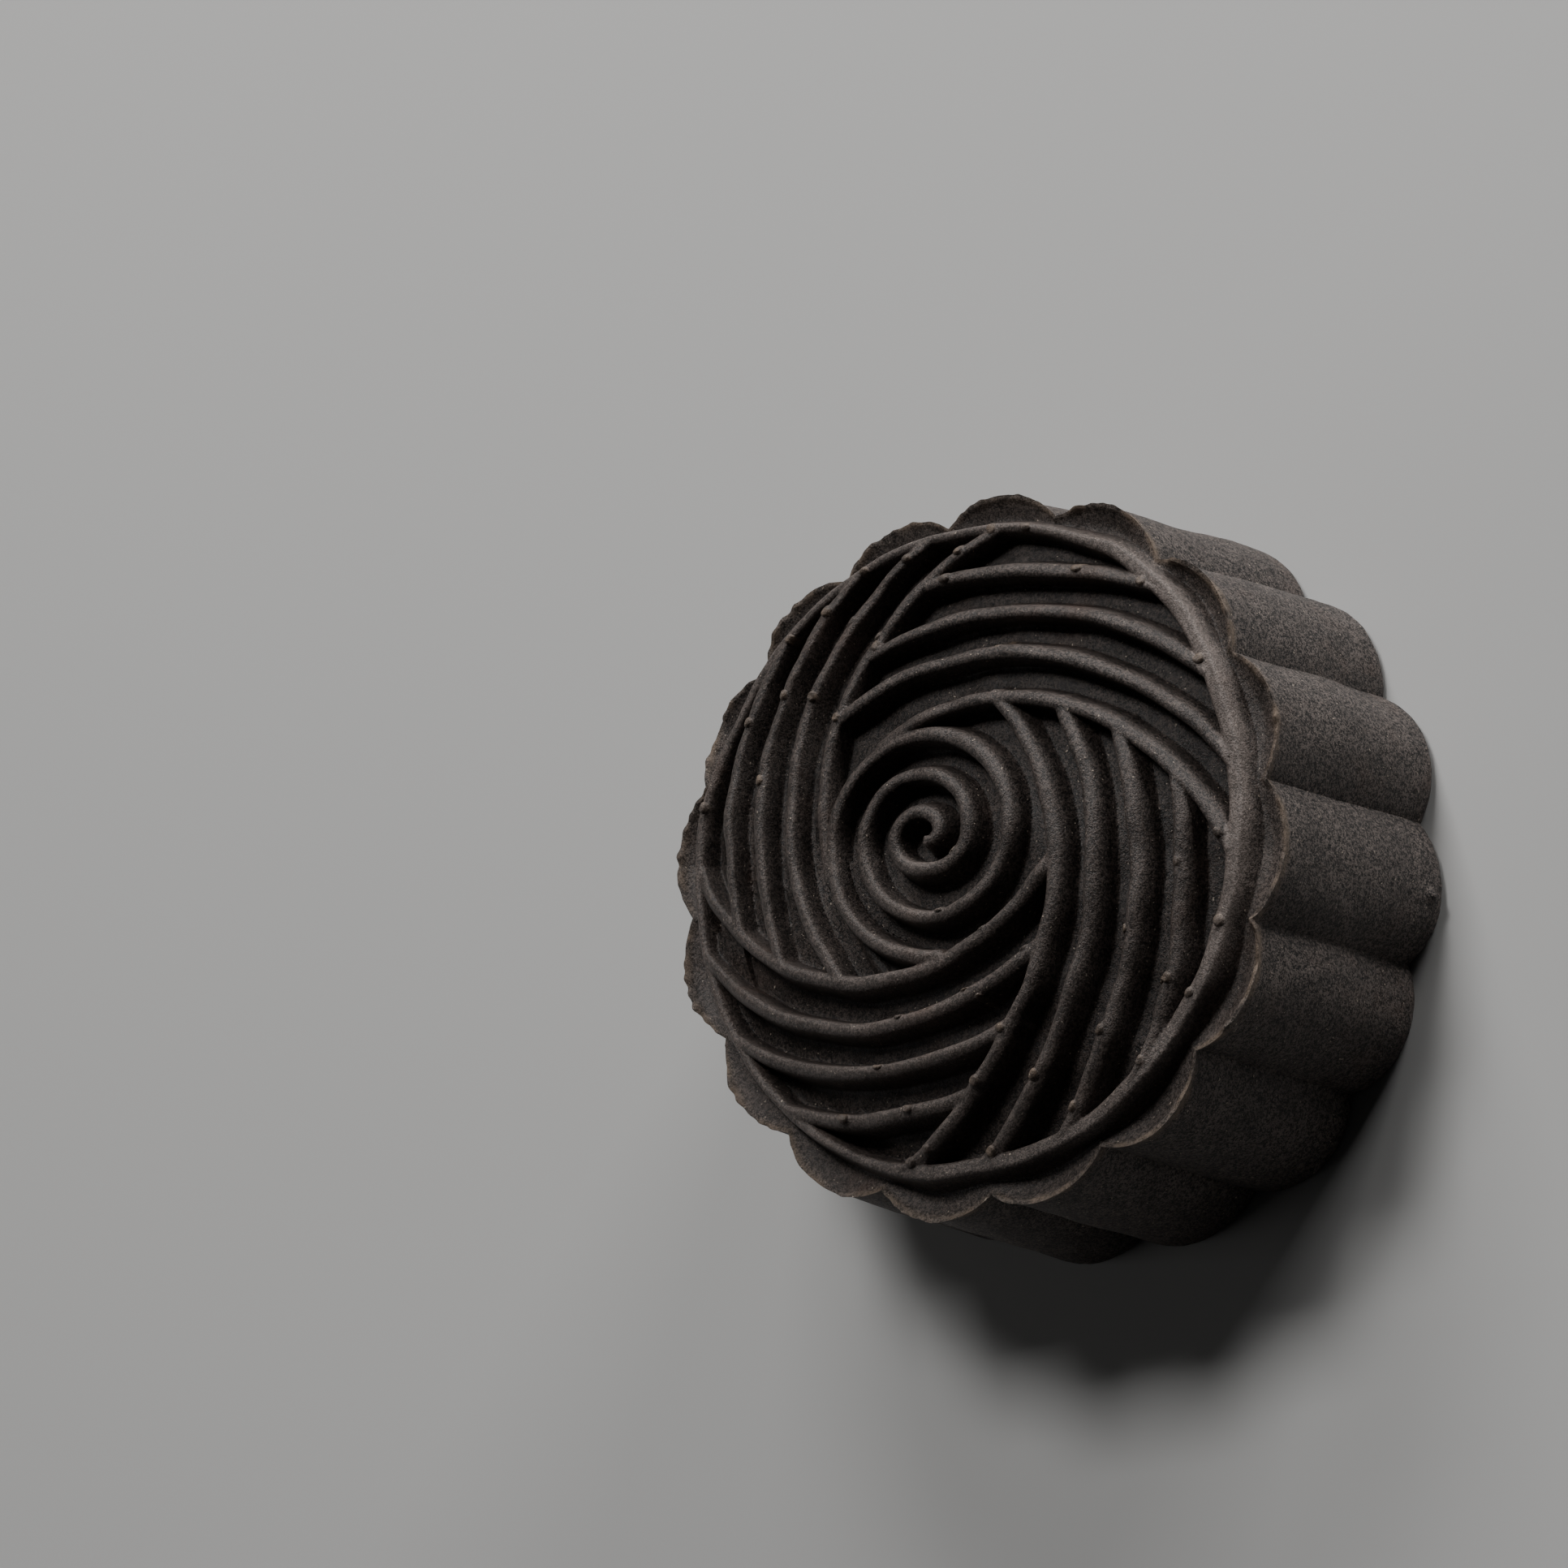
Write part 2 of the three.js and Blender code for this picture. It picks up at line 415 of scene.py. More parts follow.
@dataclass(frozen=True)
class Vent:
    """A mark that a vent of the mould left on the face."""

    x: float
    y: float
    mark: VentMark
    width: float
    # The dimple of a cup, as shares of the cup.
    dimple_depth: float = 0.35
    dimple_size: float = 0.3

    def rise(self, plan: np.ndarray) -> np.ndarray:
        """How far the mark stands over the surface."""
        share = np.hypot(plan[:, 0] - self.x, plan[:, 1] - self.y) / (self.width / 2.0)
        rise = self.mark.value * self.width * np.sqrt(np.clip(1.0 - share**3, 0.0, 1.0))
        if self.mark is VentMark.CUP:
            rise *= 1.0 - self.dimple_depth * np.clip(1.0 - share**2 / self.dimple_size, 0.0, 1.0)
        return rise


@dataclass(frozen=True)
class FloorStep:
    """A step in a groove floor, where two inserts of the mould met."""

    # The step is sharp at its bearing round the centre, and fades over the span.
    centre: Place
    bearing: float
    span: float
    # Radii of the groove that it lies in.
    inner: float
    outer: float
    rise: float

    def lift(self, plan: np.ndarray) -> np.ndarray:
        """How far the floor is lifted."""
        x, y = (plan - np.array(self.centre)).T
        past = bearing_gap(np.degrees(np.arctan2(y, x)), self.bearing + self.span / 2.0) + self.span / 2.0
        radius = np.hypot(x, y)
        fade = np.where(past > 0.0, 1.0 - smooth_step(past / self.span), 0.0)
        inside = (radius > self.inner) & (radius < self.outer)
        return np.where(inside, self.rise * fade, 0.0)


@dataclass
class Rose:
    """The whirl on the face: a spiral and four petals of ridges inside a ring cord."""

    dome: Dome = field(default_factory=Dome)
    ring: RingCord = field(default_factory=RingCord)
    spiral: Spiral = field(default_factory=Spiral)
    petal_step: float = -90.0
    # How far the spiral and the petals were pressed off the middle.
    offset: Place = (-0.05 * MM, -0.28 * MM)
    section: RidgeSection = RidgeSection(0.55 * MM, 0.74 * MM, 8.0, 15.0)
    # Fillets where crests meet, and where flanks meet the groove floors.
    fillet: float = 0.07 * MM
    foot_fillet: float = 0.16 * MM
    sway: tuple[Unevenness, Unevenness] = (
        Unevenness(8.0 * MM, 0.06 * MM, 11),
        Unevenness(8.0 * MM, 0.06 * MM, 12),
    )
    crest_wave: Unevenness = Unevenness(5.0 * MM, 0.06 * MM, 13)
    petals: tuple[tuple[PetalRidge, ...], ...] = (
        (
            PetalRidge(10.75 * MM, 117.6, -13.55, 24.04 * MM, 0.18 * MM),
            PetalRidge(16.0 * MM, 127.0, 1.5, 29.0 * MM),
            PetalRidge(19.1 * MM, 110.0, 18.6, 32.8 * MM),
            PetalRidge(23.2 * MM, 93.2, 41.0, 51.9 * MM),
        ),
        (
            PetalRidge(13.15 * MM, 149.2, -16.4, 24.2 * MM, 0.8 * MM),
            PetalRidge(15.9 * MM, 126.5, -1.3, 28.9 * MM, 0.2 * MM),
            PetalRidge(18.8 * MM, 110.9, 17.2, 33.6 * MM, 0.2 * MM),
            PetalRidge(22.55 * MM, 94.7, 35.1, 35.7 * MM, -0.15 * MM),
        ),
        (
            PetalRidge(11.8 * MM, 164.9, -3.4, 24.3 * MM, 0.35 * MM),
            PetalRidge(13.75 * MM, 134.1, 11.9, 29.2 * MM),
            PetalRidge(16.95 * MM, 110.2, 28.4, 35.7 * MM),
            PetalRidge(20.7 * MM, 93.2, 46.3, 36.0 * MM),
        ),
        (
            PetalRidge(12.2 * MM, 148.3, -13.4, 23.7 * MM, 0.2 * MM, 1.9 * MM, 8.6 * MM, 2.2 * MM),
            PetalRidge(14.45 * MM, 132.4, 3.0, 25.6 * MM, 0.2 * MM),
            PetalRidge(18.85 * MM, 111.6, 20.7, 30.0 * MM, -0.15 * MM),
            PetalRidge(22.9 * MM, 97.9, 43.8, 29.5 * MM, -0.15 * MM),
        ),
    )
    steps: tuple[FloorStep, ...] = (
        FloorStep(HEART, 183.0, 75.0, 7.0 * MM, 9.2 * MM, 0.7 * MM),
        FloorStep(HEART, 152.0, 35.0, 10.3 * MM, 13.5 * MM, 0.7 * MM),
        FloorStep((0.0, 0.0), 184.0, 26.0, 24.0 * MM, 28.0 * MM, 0.9 * MM),
    )
    # Places of the vent marks, and below them their least and greatest width, in millimetres.
    beads: tuple[Place, ...] = (
        (13.5, -18.0), (9.7, -23.5), (7.0, -20.6), (21.3, -16.2), (24.6, -11.0), (18.9, -14.8),
        (7.8, -10.3), (4.8, -16.5), (1.7, -12.5), (0.3, -5.7), (3.2, -13.9), (-5.1, -13.6),
        (-13.3, -21.2), (-4.8, -24.8), (1.3, 23.1), (14.2, 21.0), (24.9, 10.6), (-5.8, 19.6),
        (-12.0, 23.6), (-3.2, 26.2), (-16.4, 16.8), (-19.1, 9.6), (8.6, 26.4), (25.5, -4.1),
        (-8.0, 26.3), (-16.5, 22.2), (-26.95, 9.2), (2.4, 25.5), (-21.2, 15.6),
    )
    cups: tuple[Place, ...] = (
        (16.7, -10.4), (1.2, -25.8), (19.7, -14.8), (1.5, -20.3), (-8.0, -17.3), (-6.8, -25.5),
        (-5.8, -21.3), (20.0, 18.4), (-9.6, 12.9), (-12.9, 16.0),
    )
    crumbs: tuple[Place, ...] = (
        (16.4, -20.9), (21.5, -5.8), (4.1, -8.0), (1.7, -0.9), (7.1, 15.8), (-5.7, 18.6),
        (-9.0, 21.9), (5.5, 26.8),
    )
    vent_seed: int = 21
    vent_widths: tuple[float, float] = (0.85, 1.1)
    # How far a mark moves at most to sit on a crest, and the places tried along each side.
    vent_reach: float = 0.5 * MM
    vent_tries: int = 9

    def settle(self, x: float, y: float) -> Place:
        """Moves a place onto the crest beside it, if there is one within reach.

        Args:
            x: Place across the face.
            y: Place up the face.

        Returns:
            The place on the crest, or the same place.
        """
        away = np.linspace(-1.0, 1.0, self.vent_tries) * self.vent_reach
        across, up = (grid.ravel() for grid in np.meshgrid(away, away))
        patch = np.stack([x + across, y + up], axis=1)
        best = int(np.argmax(self.relief(patch, np.zeros(len(patch)))))
        if max(abs(across[best]), abs(up[best])) > self.vent_reach - ZERO_LIMIT:
            return x, y
        return float(patch[best, 0]), float(patch[best, 1])

    @cached_property
    def vents(self) -> list[Vent]:
        """All vent marks, with widths that vary a little."""
        dice = np.random.default_rng(self.vent_seed)
        marks = ((VentMark.BEAD, self.beads), (VentMark.CUP, self.cups), (VentMark.CRUMB, self.crumbs))
        return [
            Vent(*self.settle(x * MM, y * MM), mark, dice.uniform(*self.vent_widths) * MM)
            for mark, places in marks
            for x, y in places
        ]

    def height(self, plan: np.ndarray, ledge: np.ndarray) -> np.ndarray:
        """Works out the face with its vent marks.

        Args:
            plan: Places as rows of two coordinates.
            ledge: Height of the ledge around the ring cord at those places.

        Returns:
            The height over the base.
        """
        height = self.relief(plan, ledge)
        for vent in self.vents:
            height += vent.rise(plan)
        return height

    def relief(self, plan: np.ndarray, ledge: np.ndarray) -> np.ndarray:
        """Works out the face without its vent marks.

        Args:
            plan: Places as rows of two coordinates.
            ledge: Height of the ledge around the ring cord at those places.

        Returns:
            The height over the base.
        """
        swayed = plan + np.stack([sway.at(plan) for sway in self.sway], axis=1)
        ring_offset, ring_share = self.ring.measure(swayed)
        swayed -= np.array(self.offset)
        crest = self.dome.crest(ring_share, self.ring.rise) + self.crest_wave.at(plan)
        floor = np.full(len(plan), -self.dome.groove_depth)
        for step in self.steps:
            floor += step.lift(plan)
        levels = []
        for number, petal in enumerate(self.petals):
            for ridge in petal:
                offset, sunk = ridge.measure(swayed, self.petal_step * number)
                levels.append(-self.section.fall(offset) - sunk)
        levels.append(-self.section.fall(self.spiral.measure(swayed)))
        cord_fall = self.ring.section.fall(ring_offset, self.ring.flat_share(plan))
        cord = self.dome.rim_height + self.ring.rise - cord_fall
        levels.append(cord - crest)
        inside = crest + highest([highest(levels, self.fillet), floor], self.foot_fillet)
        outside = highest([cord, ledge], self.fillet)
        return np.where(ring_offset > 0.0, outside, inside)

    def depth_below_crest(self, points: np.ndarray) -> np.ndarray:
        """How far points of the face lie below the surface of the crests."""
        plan = turned(points[:, :2], -ROSE_TURN)
        _, share = self.ring.measure(plan)
        return self.dome.crest(share, self.ring.rise) - points[:, 2]


@dataclass(frozen=True)
class Burr:
    """A torn tag of crust."""

    bearing: float
    width: float
    out: float
    up: float = 0.0
    height: float = RIM_HEIGHT

    def beside(self, bearing: np.ndarray, radius: float) -> np.ndarray:
        """How far away bearings are along a rim of some radius, in halves of its width."""
        return np.radians(bearing_gap(bearing, self.bearing)) * radius / (self.width / 2.0)


@dataclass
class Drum:
    """The body under the face: a ring of lobes that flares a little towards the base."""

    # The lobes of the rim, which differ a little by chance, and how much wider the base is, as a share.
    lobes: int = 16
    cusp_radius: float = 29.0 * MM
    bulge: float = 1.9 * MM
    lobe_spread: float = 0.16 * MM
    lobe_seed: int = 31
    flare: float = 0.054
    base_edge_height: float = 1.3 * MM
    base_edge_inset: float = 0.8 * MM
    rim_height: float = RIM_HEIGHT
    # How deep the ledge lies at the creases, how much deeper in the middle of a lobe, and over what width.
    crease: float = 0.2 * MM
    dish: float = 0.5 * MM
    dish_width: float = 1.7 * MM
    # The thin torn lip on the rim's edge. Its mean, range and tears are shares of its height.
    lip_height: float = 0.32 * MM
    lip_width: float = 0.34 * MM
    lip_out: float = 0.16 * MM
    lip_drop: float = 0.32 * MM
    lip_mean: float = 0.9
    lip_range: tuple[float, float] = (0.1, 2.0)
    lip_tears: tuple[Unevenness, ...] = (
        Unevenness(6.0 * MM, 0.4, 41),
        Unevenness(1.4 * MM, 0.2, 42),
    )
    rim_bulges: tuple[Bulge, ...] = (
        Bulge(95.0, 28.0, -0.65 * MM),
        Bulge(172.0, 20.0, 0.85 * MM),
        Bulge(197.0, 14.0, 0.3 * MM),
        Bulge(282.0, 9.0, -0.35 * MM),
    )
    burrs: tuple[Burr, ...] = (
        Burr(128.0, 1.6 * MM, 0.25 * MM, 0.4 * MM),
        Burr(162.5, 1.0 * MM, 0.1 * MM, 0.1 * MM),
        Burr(-23.0, 1.2 * MM, 0.3 * MM, 0.45 * MM),
        Burr(-39.0, 0.9 * MM, 0.25 * MM, 0.4 * MM),
        Burr(64.0, 1.5 * MM, 0.2 * MM, 0.45 * MM),
        Burr(41.0, 1.4 * MM, 0.25 * MM, 0.4 * MM),
        Burr(31.0, 2.4 * MM, 0.25 * MM, 0.25 * MM),
        Burr(9.0, 0.8 * MM, 0.2 * MM, 0.3 * MM),
        Burr(-12.0, 0.9 * MM, 0.4 * MM, height=2.2 * MM),
        Burr(-57.0, 0.7 * MM, 0.3 * MM, height=1.5 * MM),
    )
    # How far a burr on the rim reaches inwards, and half of a burr's height on the wall.
    burr_depth: float = 0.4 * MM
    burr_height: float = 0.6 * MM

    def lobe_place(self, bearing: np.ndarray) -> tuple[np.ndarray, np.ndarray]:
        """Finds places among the lobes.

        Args:
            bearing: Bearings in degrees.

        Returns:
            The number of the lobe, and the angle from its crest in radians.
        """
        step = 360.0 / self.lobes
        around = bearing + ROSE_TURN
        nearest = np.round(around / step)
        return nearest.astype(int) % self.lobes, np.radians(around - nearest * step)

    def outline(self, bearing: np.ndarray) -> np.ndarray:
        """Radius of the rim at a bearing."""
        half = math.pi / self.lobes
        number, turn = self.lobe_place(bearing)
        dice = np.random.default_rng(self.lobe_seed)
        bulge = (self.bulge + dice.uniform(-self.lobe_spread, self.lobe_spread, self.lobes))[number]
        chord = self.cusp_radius * math.sin(half)
        sagitta = self.cusp_radius + bulge - self.cusp_radius * math.cos(half)
        lobe = (chord**2 + sagitta**2) / (2.0 * sagitta)
        centre = self.cusp_radius + bulge - lobe
        radius = centre * np.cos(turn) + np.sqrt(lobe**2 - (centre * np.sin(turn)) ** 2)
        for part in self.rim_bulges:
            radius = radius + part.on_ring(bearing)
        return radius

    def lip(self, bearing: np.ndarray) -> np.ndarray:
        """Height of the thin lip on the rim's edge, which is higher and lower by chance."""
        around = headings(np.radians(bearing)) * self.cusp_radius
        torn = self.lip_mean + sum(tears.at(around) for tears in self.lip_tears)
        return self.lip_height * np.clip(torn, *self.lip_range)

    def ledge(self, bearing: np.ndarray, from_edge: np.ndarray) -> np.ndarray:
        """Works out the ledge between the ring cord and the rim's edge.

        Args:
            bearing: Bearings of the places.
            from_edge: Their distances from the edge.

        Returns:
            The height over the base.
        """
        _, turn = self.lobe_place(bearing)
        hollow = np.cos(turn * self.lobes / 2.0) ** 2
        lip = self.lip(bearing) * np.exp(-((from_edge / self.lip_width) ** 2))
        dip = (self.crease + self.dish * hollow) * smooth_step(from_edge / self.dish_width)
        height = self.rim_height - dip + lip
        for burr in self.burrs:
            apart = burr.beside(bearing, self.cusp_radius) ** 2 + (from_edge / self.burr_depth) ** 2
            height += burr.up * np.exp(-apart)
        return height

    def wall_push(self, bearing: np.ndarray, height: np.ndarray, below_rim: np.ndarray) -> np.ndarray:
        """How far the wall stands out beyond its even shape.

        Args:
            bearing: Bearings of the places.
            height: Their heights over the base.
            below_rim: How far they lie below the rim.

        Returns:
            The push outwards.
        """
        torn = self.lip(bearing) / self.lip_height
        push = self.lip_out * torn * np.exp(-((below_rim / self.lip_drop) ** 2))
        for burr in self.burrs:
            upright = (height - burr.height) / self.burr_height
            push += burr.out * np.exp(-(burr.beside(bearing, self.cusp_radius) ** 2) - upright**2)
        return push


@dataclass(frozen=True)
class CrustMesh:
    """How finely the crust is meshed before it is thinned."""

    face_cells: int = 704
    wall_rows: int = 110
    triangles: int = 196_000
    weld: float = 0.002 * MM
    sharp_angle: float = 48.0


@dataclass(frozen=True)
class Wear:
    """Where the crust is worn, dry or torn, or carries painted highlight on its crests, which its finish
    shows in paler tones.
    """

    # Wear of the ridges, the ring cord and the ledge from 0 to 1, which on the crests is partly painted
    # highlight. Two stretches are painted light: lighter ridges where the face tilts away from the lamps,
    # and a painted highlight on the ring cord.
    ridges: float = 0.2
    painted_ridge_light: Bulge = Bulge(250.0, 55.0, 0.4)
    ring: float = 0.5
    painted_ring_highlight: Bulge = Bulge(8.0, 34.0, 1.2)
    ledge: float = 0.25
    # The depth below the crests that is fully worn, and the depth over which the wear then fades.
    depth: float = 0.1 * MM
    fade: float = 1.5 * MM
    # How far from the edge the dry wall starts, and over what width.
    dry_edge: float = 0.9 * MM
    dry_fade: float = 0.7 * MM
    # The pale line on the lip: its width, how far below the rim it starts, and over what height.
    lip_width: float = 0.35 * MM
    lip_below: float = 0.7 * MM
    lip_fade: float = 0.5 * MM
    # Height at which a vent mark is fully pale.
    vent_rise: float = 0.2 * MM

    def of_crests(self, bearing: np.ndarray, on_ring: np.ndarray, depth: np.ndarray) -> np.ndarray:
        """Works out how pale the crests are painted, partly from wear and partly as painted highlight.

        Args:
            bearing: Bearings of the places.
            on_ring: Whether they lie on the ring cord.
            depth: How far they lie below the crests.

        Returns:
            The wear and painted highlight, which is 0 on the groove floors.
        """
        ridges = self.ridges + self.painted_ridge_light.on_ring(bearing)
        ring = self.ring + self.painted_ring_highlight.on_ring(bearing)
        return np.where(on_ring, ring, ridges) * (1.0 - smooth_step((depth - self.depth) / self.fade))


@dataclass
class Crust:
    """The whole mooncake, as one closed piece."""

    name: str = "mooncake_crust"
    rose: Rose = field(default_factory=Rose)
    drum: Drum = field(default_factory=Drum)
    mesh: CrustMesh = CrustMesh()
    wear: Wear = Wear()
    swell: Unevenness = Unevenness(11.0 * MM, 0.09 * MM, 3)
    ripple: Unevenness = Unevenness(1.7 * MM, 0.014 * MM, 5)
    pebble: Unevenness = Unevenness(0.7 * MM, 0.007 * MM, 6)
    # The face's grid is round up to a share of its radius, and from there it takes the rim's outline.
    lobed_from: float = 0.91
    even_radius: float = 30.45 * MM
    # Shares of the wall above its rounded edge, and at both ends where the unevenness fades.
    straight_share: float = 0.93
    wall_ease: float = 0.05

    def roughen(self, points: np.ndarray) -> np.ndarray:
        """How far the hand-pressed surface stands out at points."""
        return self.swell.at(points) + self.ripple.at(points) + self.pebble.at(points)

    def face_points(self, share: np.ndarray, angle: np.ndarray) -> np.ndarray:
        """Works out the face.

        Args:
            share: Distance from the middle as a share of the rim's.
            angle: Angle in the part's frame.

        Returns:
            The places as rows of three coordinates.
        """
        bearing = np.degrees(angle) - ROSE_TURN
        edge = self.drum.outline(bearing)
        blend = smooth_step((share - self.lobed_from) / (1.0 - self.lobed_from))
        radius = share * (self.even_radius + (edge - self.even_radius) * blend)
        torn = self.drum.lip(bearing) / self.drum.lip_height
        radius += self.drum.lip_out * torn * (share >= 1.0 - ZERO_LIMIT)
        flat = headings(angle) * radius[:, None]
        ledge = self.drum.ledge(bearing, np.maximum(edge - radius, 0.0))
        height = self.rose.height(turned(flat, -ROSE_TURN), ledge)
        points = np.column_stack([flat, height])
        points[:, 2] += self.roughen(points)
        return points

    def wall_points(self, share: np.ndarray, angle: np.ndarray) -> np.ndarray:
        """Works out the wall.

        Args:
            share: Way down the wall, from 0 at the rim to 1 at the edge of the base.
            angle: Angle in the part's frame.

        Returns:
            The places as rows of three coordinates.
        """
        bearing = np.degrees(angle) - ROSE_TURN
        rim = self.face_points(np.ones(len(share)), angle)
        edge_height = self.drum.base_edge_height
        down = np.minimum(share / self.straight_share, 1.0)
        round_share = (share - self.straight_share) / (1.0 - self.straight_share)
        round_in = np.clip(round_share, 0.0, 1.0) * math.pi / 2.0
        straight = edge_height + (rim[:, 2] - edge_height) * (1.0 - down)
        height = np.where(share <= self.straight_share, straight, edge_height * (1.0 - np.sin(round_in)))
        inset = self.drum.base_edge_inset * (1.0 - np.cos(round_in))
        level = np.clip(height / self.drum.rim_height, 0.0, 1.0)
        radius = self.drum.outline(bearing) * (1.0 + self.drum.flare * (1.0 - level)) - inset
        heading = headings(angle)
        points = np.column_stack([heading * radius[:, None], height])
        fade = smooth_step(share / self.wall_ease) * smooth_step((1.0 - share) / self.wall_ease)
        push = self.roughen(points) * fade + self.drum.wall_push(bearing, height, rim[:, 2] - height)
        points[:, :2] += heading * (push * (share < 1.0))[:, None]
        points[share <= ZERO_LIMIT] = rim[share <= ZERO_LIMIT]
        return points

    def face(self) -> bpy.types.Object:
        """Makes the face from a grid that is drawn round into a lobed disc, open along its edge."""
        cells = self.mesh.face_cells
        bpy.ops.mesh.primitive_grid_add(x_subdivisions=cells, y_subdivisions=cells, size=2.0)
        piece = bpy.context.object
        points = read_points(piece)
        share, angle = round_off(points[:, 0], points[:, 1])
        place_points(piece, self.face_points(share, angle))
        return piece

    def wall(self) -> bpy.types.Object:
        """Makes the wall and the base from a cylinder that is cut into rows, open at the rim."""
        columns = 4 * self.mesh.face_cells
        bpy.ops.mesh.primitive_cylinder_add(
            vertices=columns, radius=1.0, depth=2.0 * CYLINDER_TOP, end_fill_type="NGON"
        )
        piece = bpy.context.object
        lid = [face.center.z > CYLINDER_TOP / 2.0 for face in piece.data.polygons]
        pick(piece.data.polygons, lid, "FACE")
        bpy.ops.mesh.delete(type="ONLY_FACE")
        bpy.ops.object.mode_set(mode="OBJECT")
        heights = read_points(piece)[:, 2]
        ends = [heights[list(edge.vertices)] for edge in piece.data.edges]
        pick(piece.data.edges, [abs(end[0] - end[1]) > CYLINDER_TOP for end in ends], "EDGE")
        bpy.ops.mesh.subdivide(number_cuts=self.mesh.wall_rows)
        bpy.ops.object.mode_set(mode="OBJECT")
        points = read_points(piece)
        angle = np.arctan2(points[:, 1], points[:, 0])
        place_points(piece, self.wall_points(CYLINDER_TOP - points[:, 2], angle))
        return piece

    def build(self) -> bpy.types.Object:
        """Joins face and wall into one closed crust and thins its mesh."""
        deselect()
        wall = self.wall()
        deselect()
        self.face()
        wall.select_set(True)
        bpy.ops.object.join()
        piece = bpy.context.object
        piece.name = piece.data.name = self.name
        bpy.ops.object.mode_set(mode="EDIT")
        bpy.ops.mesh.select_all(action="SELECT")
        bpy.ops.mesh.remove_doubles(threshold=self.mesh.weld)
        bpy.ops.mesh.quads_convert_to_tris(quad_method="SHORTEST_DIAGONAL")
        bpy.ops.mesh.normals_make_consistent(inside=False)
        bpy.ops.object.mode_set(mode="OBJECT")
        LOG.info("%s meshed with %d triangles", piece.name, len(piece.data.polygons))
        self.thin(piece)
        LOG.info("%s thinned to %d triangles", piece.name, len(piece.data.polygons))
        return piece

    def thin(self, piece: bpy.types.Object) -> None:
        """Leaves fewer triangles, shaded smooth up to the sharp creases."""
        thin = piece.modifiers.new("thin", "DECIMATE")
        thin.ratio = min(1.0, self.mesh.triangles / len(piece.data.polygons))
        bpy.ops.object.modifier_apply(modifier=thin.name)
        bpy.ops.object.shade_smooth()
        bpy.ops.object.mode_set(mode="EDIT")
        bpy.ops.mesh.select_mode(type="EDGE")
        bpy.ops.mesh.select_all(action="DESELECT")
        bpy.ops.mesh.edges_select_sharp(sharpness=math.radians(self.mesh.sharp_angle))
        bpy.ops.mesh.mark_sharp()
        bpy.ops.object.mode_set(mode="OBJECT")

    def mark_wear_and_painted_light(self, piece: bpy.types.Object) -> None:
        """Stores for each corner how worn and painted highlit it is, how deep in a groove for the painted
        shade, and if on the wall or a lip.
        """
        wear = self.wear
        points = read_points(piece)
        plan = turned(points[:, :2], -ROSE_TURN)
        bearing = np.degrees(np.arctan2(plan[:, 1], plan[:, 0]))
        from_edge = self.drum.outline(bearing) - np.hypot(*plan.T)
        depth = self.rose.depth_below_crest(points)
        ring_offset, _ = self.rose.ring.measure(plan)
        inside = ring_offset < 0.0
        on_ring = ring_offset >= -self.rose.ring.section.inner_bead
        crests = wear.of_crests(bearing, on_ring, depth)
        # Paler crests, partly from wear and partly as painted highlight; the ledge gets at least its own
        # wear.
        store(piece, "crest", np.where(inside, crests, np.maximum(crests, wear.ledge)))
        store(piece, "wall", smooth_step((wear.dry_edge - from_edge) / wear.dry_fade))
        # Depth in a groove, which the finish turns into painted shade.
        store(piece, "groove", smooth_step(depth / self.rose.dome.groove_depth) * inside)
        above = points[:, 2] - (self.drum.rim_height - wear.lip_below)
        torn = np.exp(-((from_edge / wear.lip_width) ** 2)) * smooth_step(above / wear.lip_fade)
        for vent in self.rose.vents:
            torn = np.maximum(torn, vent.rise(plan) / wear.vent_rise)
        store(piece, "lip", np.clip(torn, 0.0, 1.0))


def store(piece: bpy.types.Object, name: str, values: np.ndarray) -> None:
    """Stores one number for each corner of a piece's mesh."""
    layer = piece.data.attributes.new(name, "FLOAT", "POINT")
    layer.data.foreach_set("value", values.astype(np.float32))


def pick(parts: bpy.types.bpy_prop_collection, chosen: list[bool], kind: str) -> None:
    """Goes into edit mode with exactly the chosen parts selected.

    Args:
        parts: Faces or edges of the active piece's mesh.
        chosen: Whether each is to be selected.
        kind: Name of the select mode.
    """
    bpy.ops.object.mode_set(mode="EDIT")
    bpy.ops.mesh.select_mode(type=kind)
    bpy.ops.mesh.select_all(action="DESELECT")
    bpy.ops.object.mode_set(mode="OBJECT")
    parts.foreach_set("select", chosen)
    bpy.ops.object.mode_set(mode="EDIT")


def deselect() -> None:
    """Leaves nothing selected."""
    bpy.ops.object.select_all(action="DESELECT")


def round_off(x: np.ndarray, y: np.ndarray) -> tuple[np.ndarray, np.ndarray]:
    """Draws a square round into a disc, with its outer cells evenly spread.

    Args:
        x: Coordinates in the square from -1 to 1.
        y: Coordinates in the square from -1 to 1.

    Returns:
        The distance from the middle, from 0 to 1, and the angle.
    """
    wide = np.abs(x) >= np.abs(y)
    reach = np.where(wide, x, y)
    other = np.where(wide, y, x)
    slant = math.pi / 4.0 * other / np.where(reach == 0.0, 1.0, reach)
    angle = np.where(wide, slant, math.pi / 2.0 - slant)
    return np.abs(reach), np.where(reach < 0.0, angle + math.pi, angle)


def read_points(piece: bpy.types.Object) -> np.ndarray:
    """The corners of a piece's mesh as rows of three coordinates."""
    flat = np.empty(3 * len(piece.data.vertices))
    piece.data.vertices.foreach_get("co", flat)
    return flat.reshape(-1, 3)


def place_points(piece: bpy.types.Object, points: np.ndarray) -> None:
    """Moves the corners of a piece's mesh to the places given."""
    piece.data.vertices.foreach_set("co", points.ravel())
    piece.data.update()


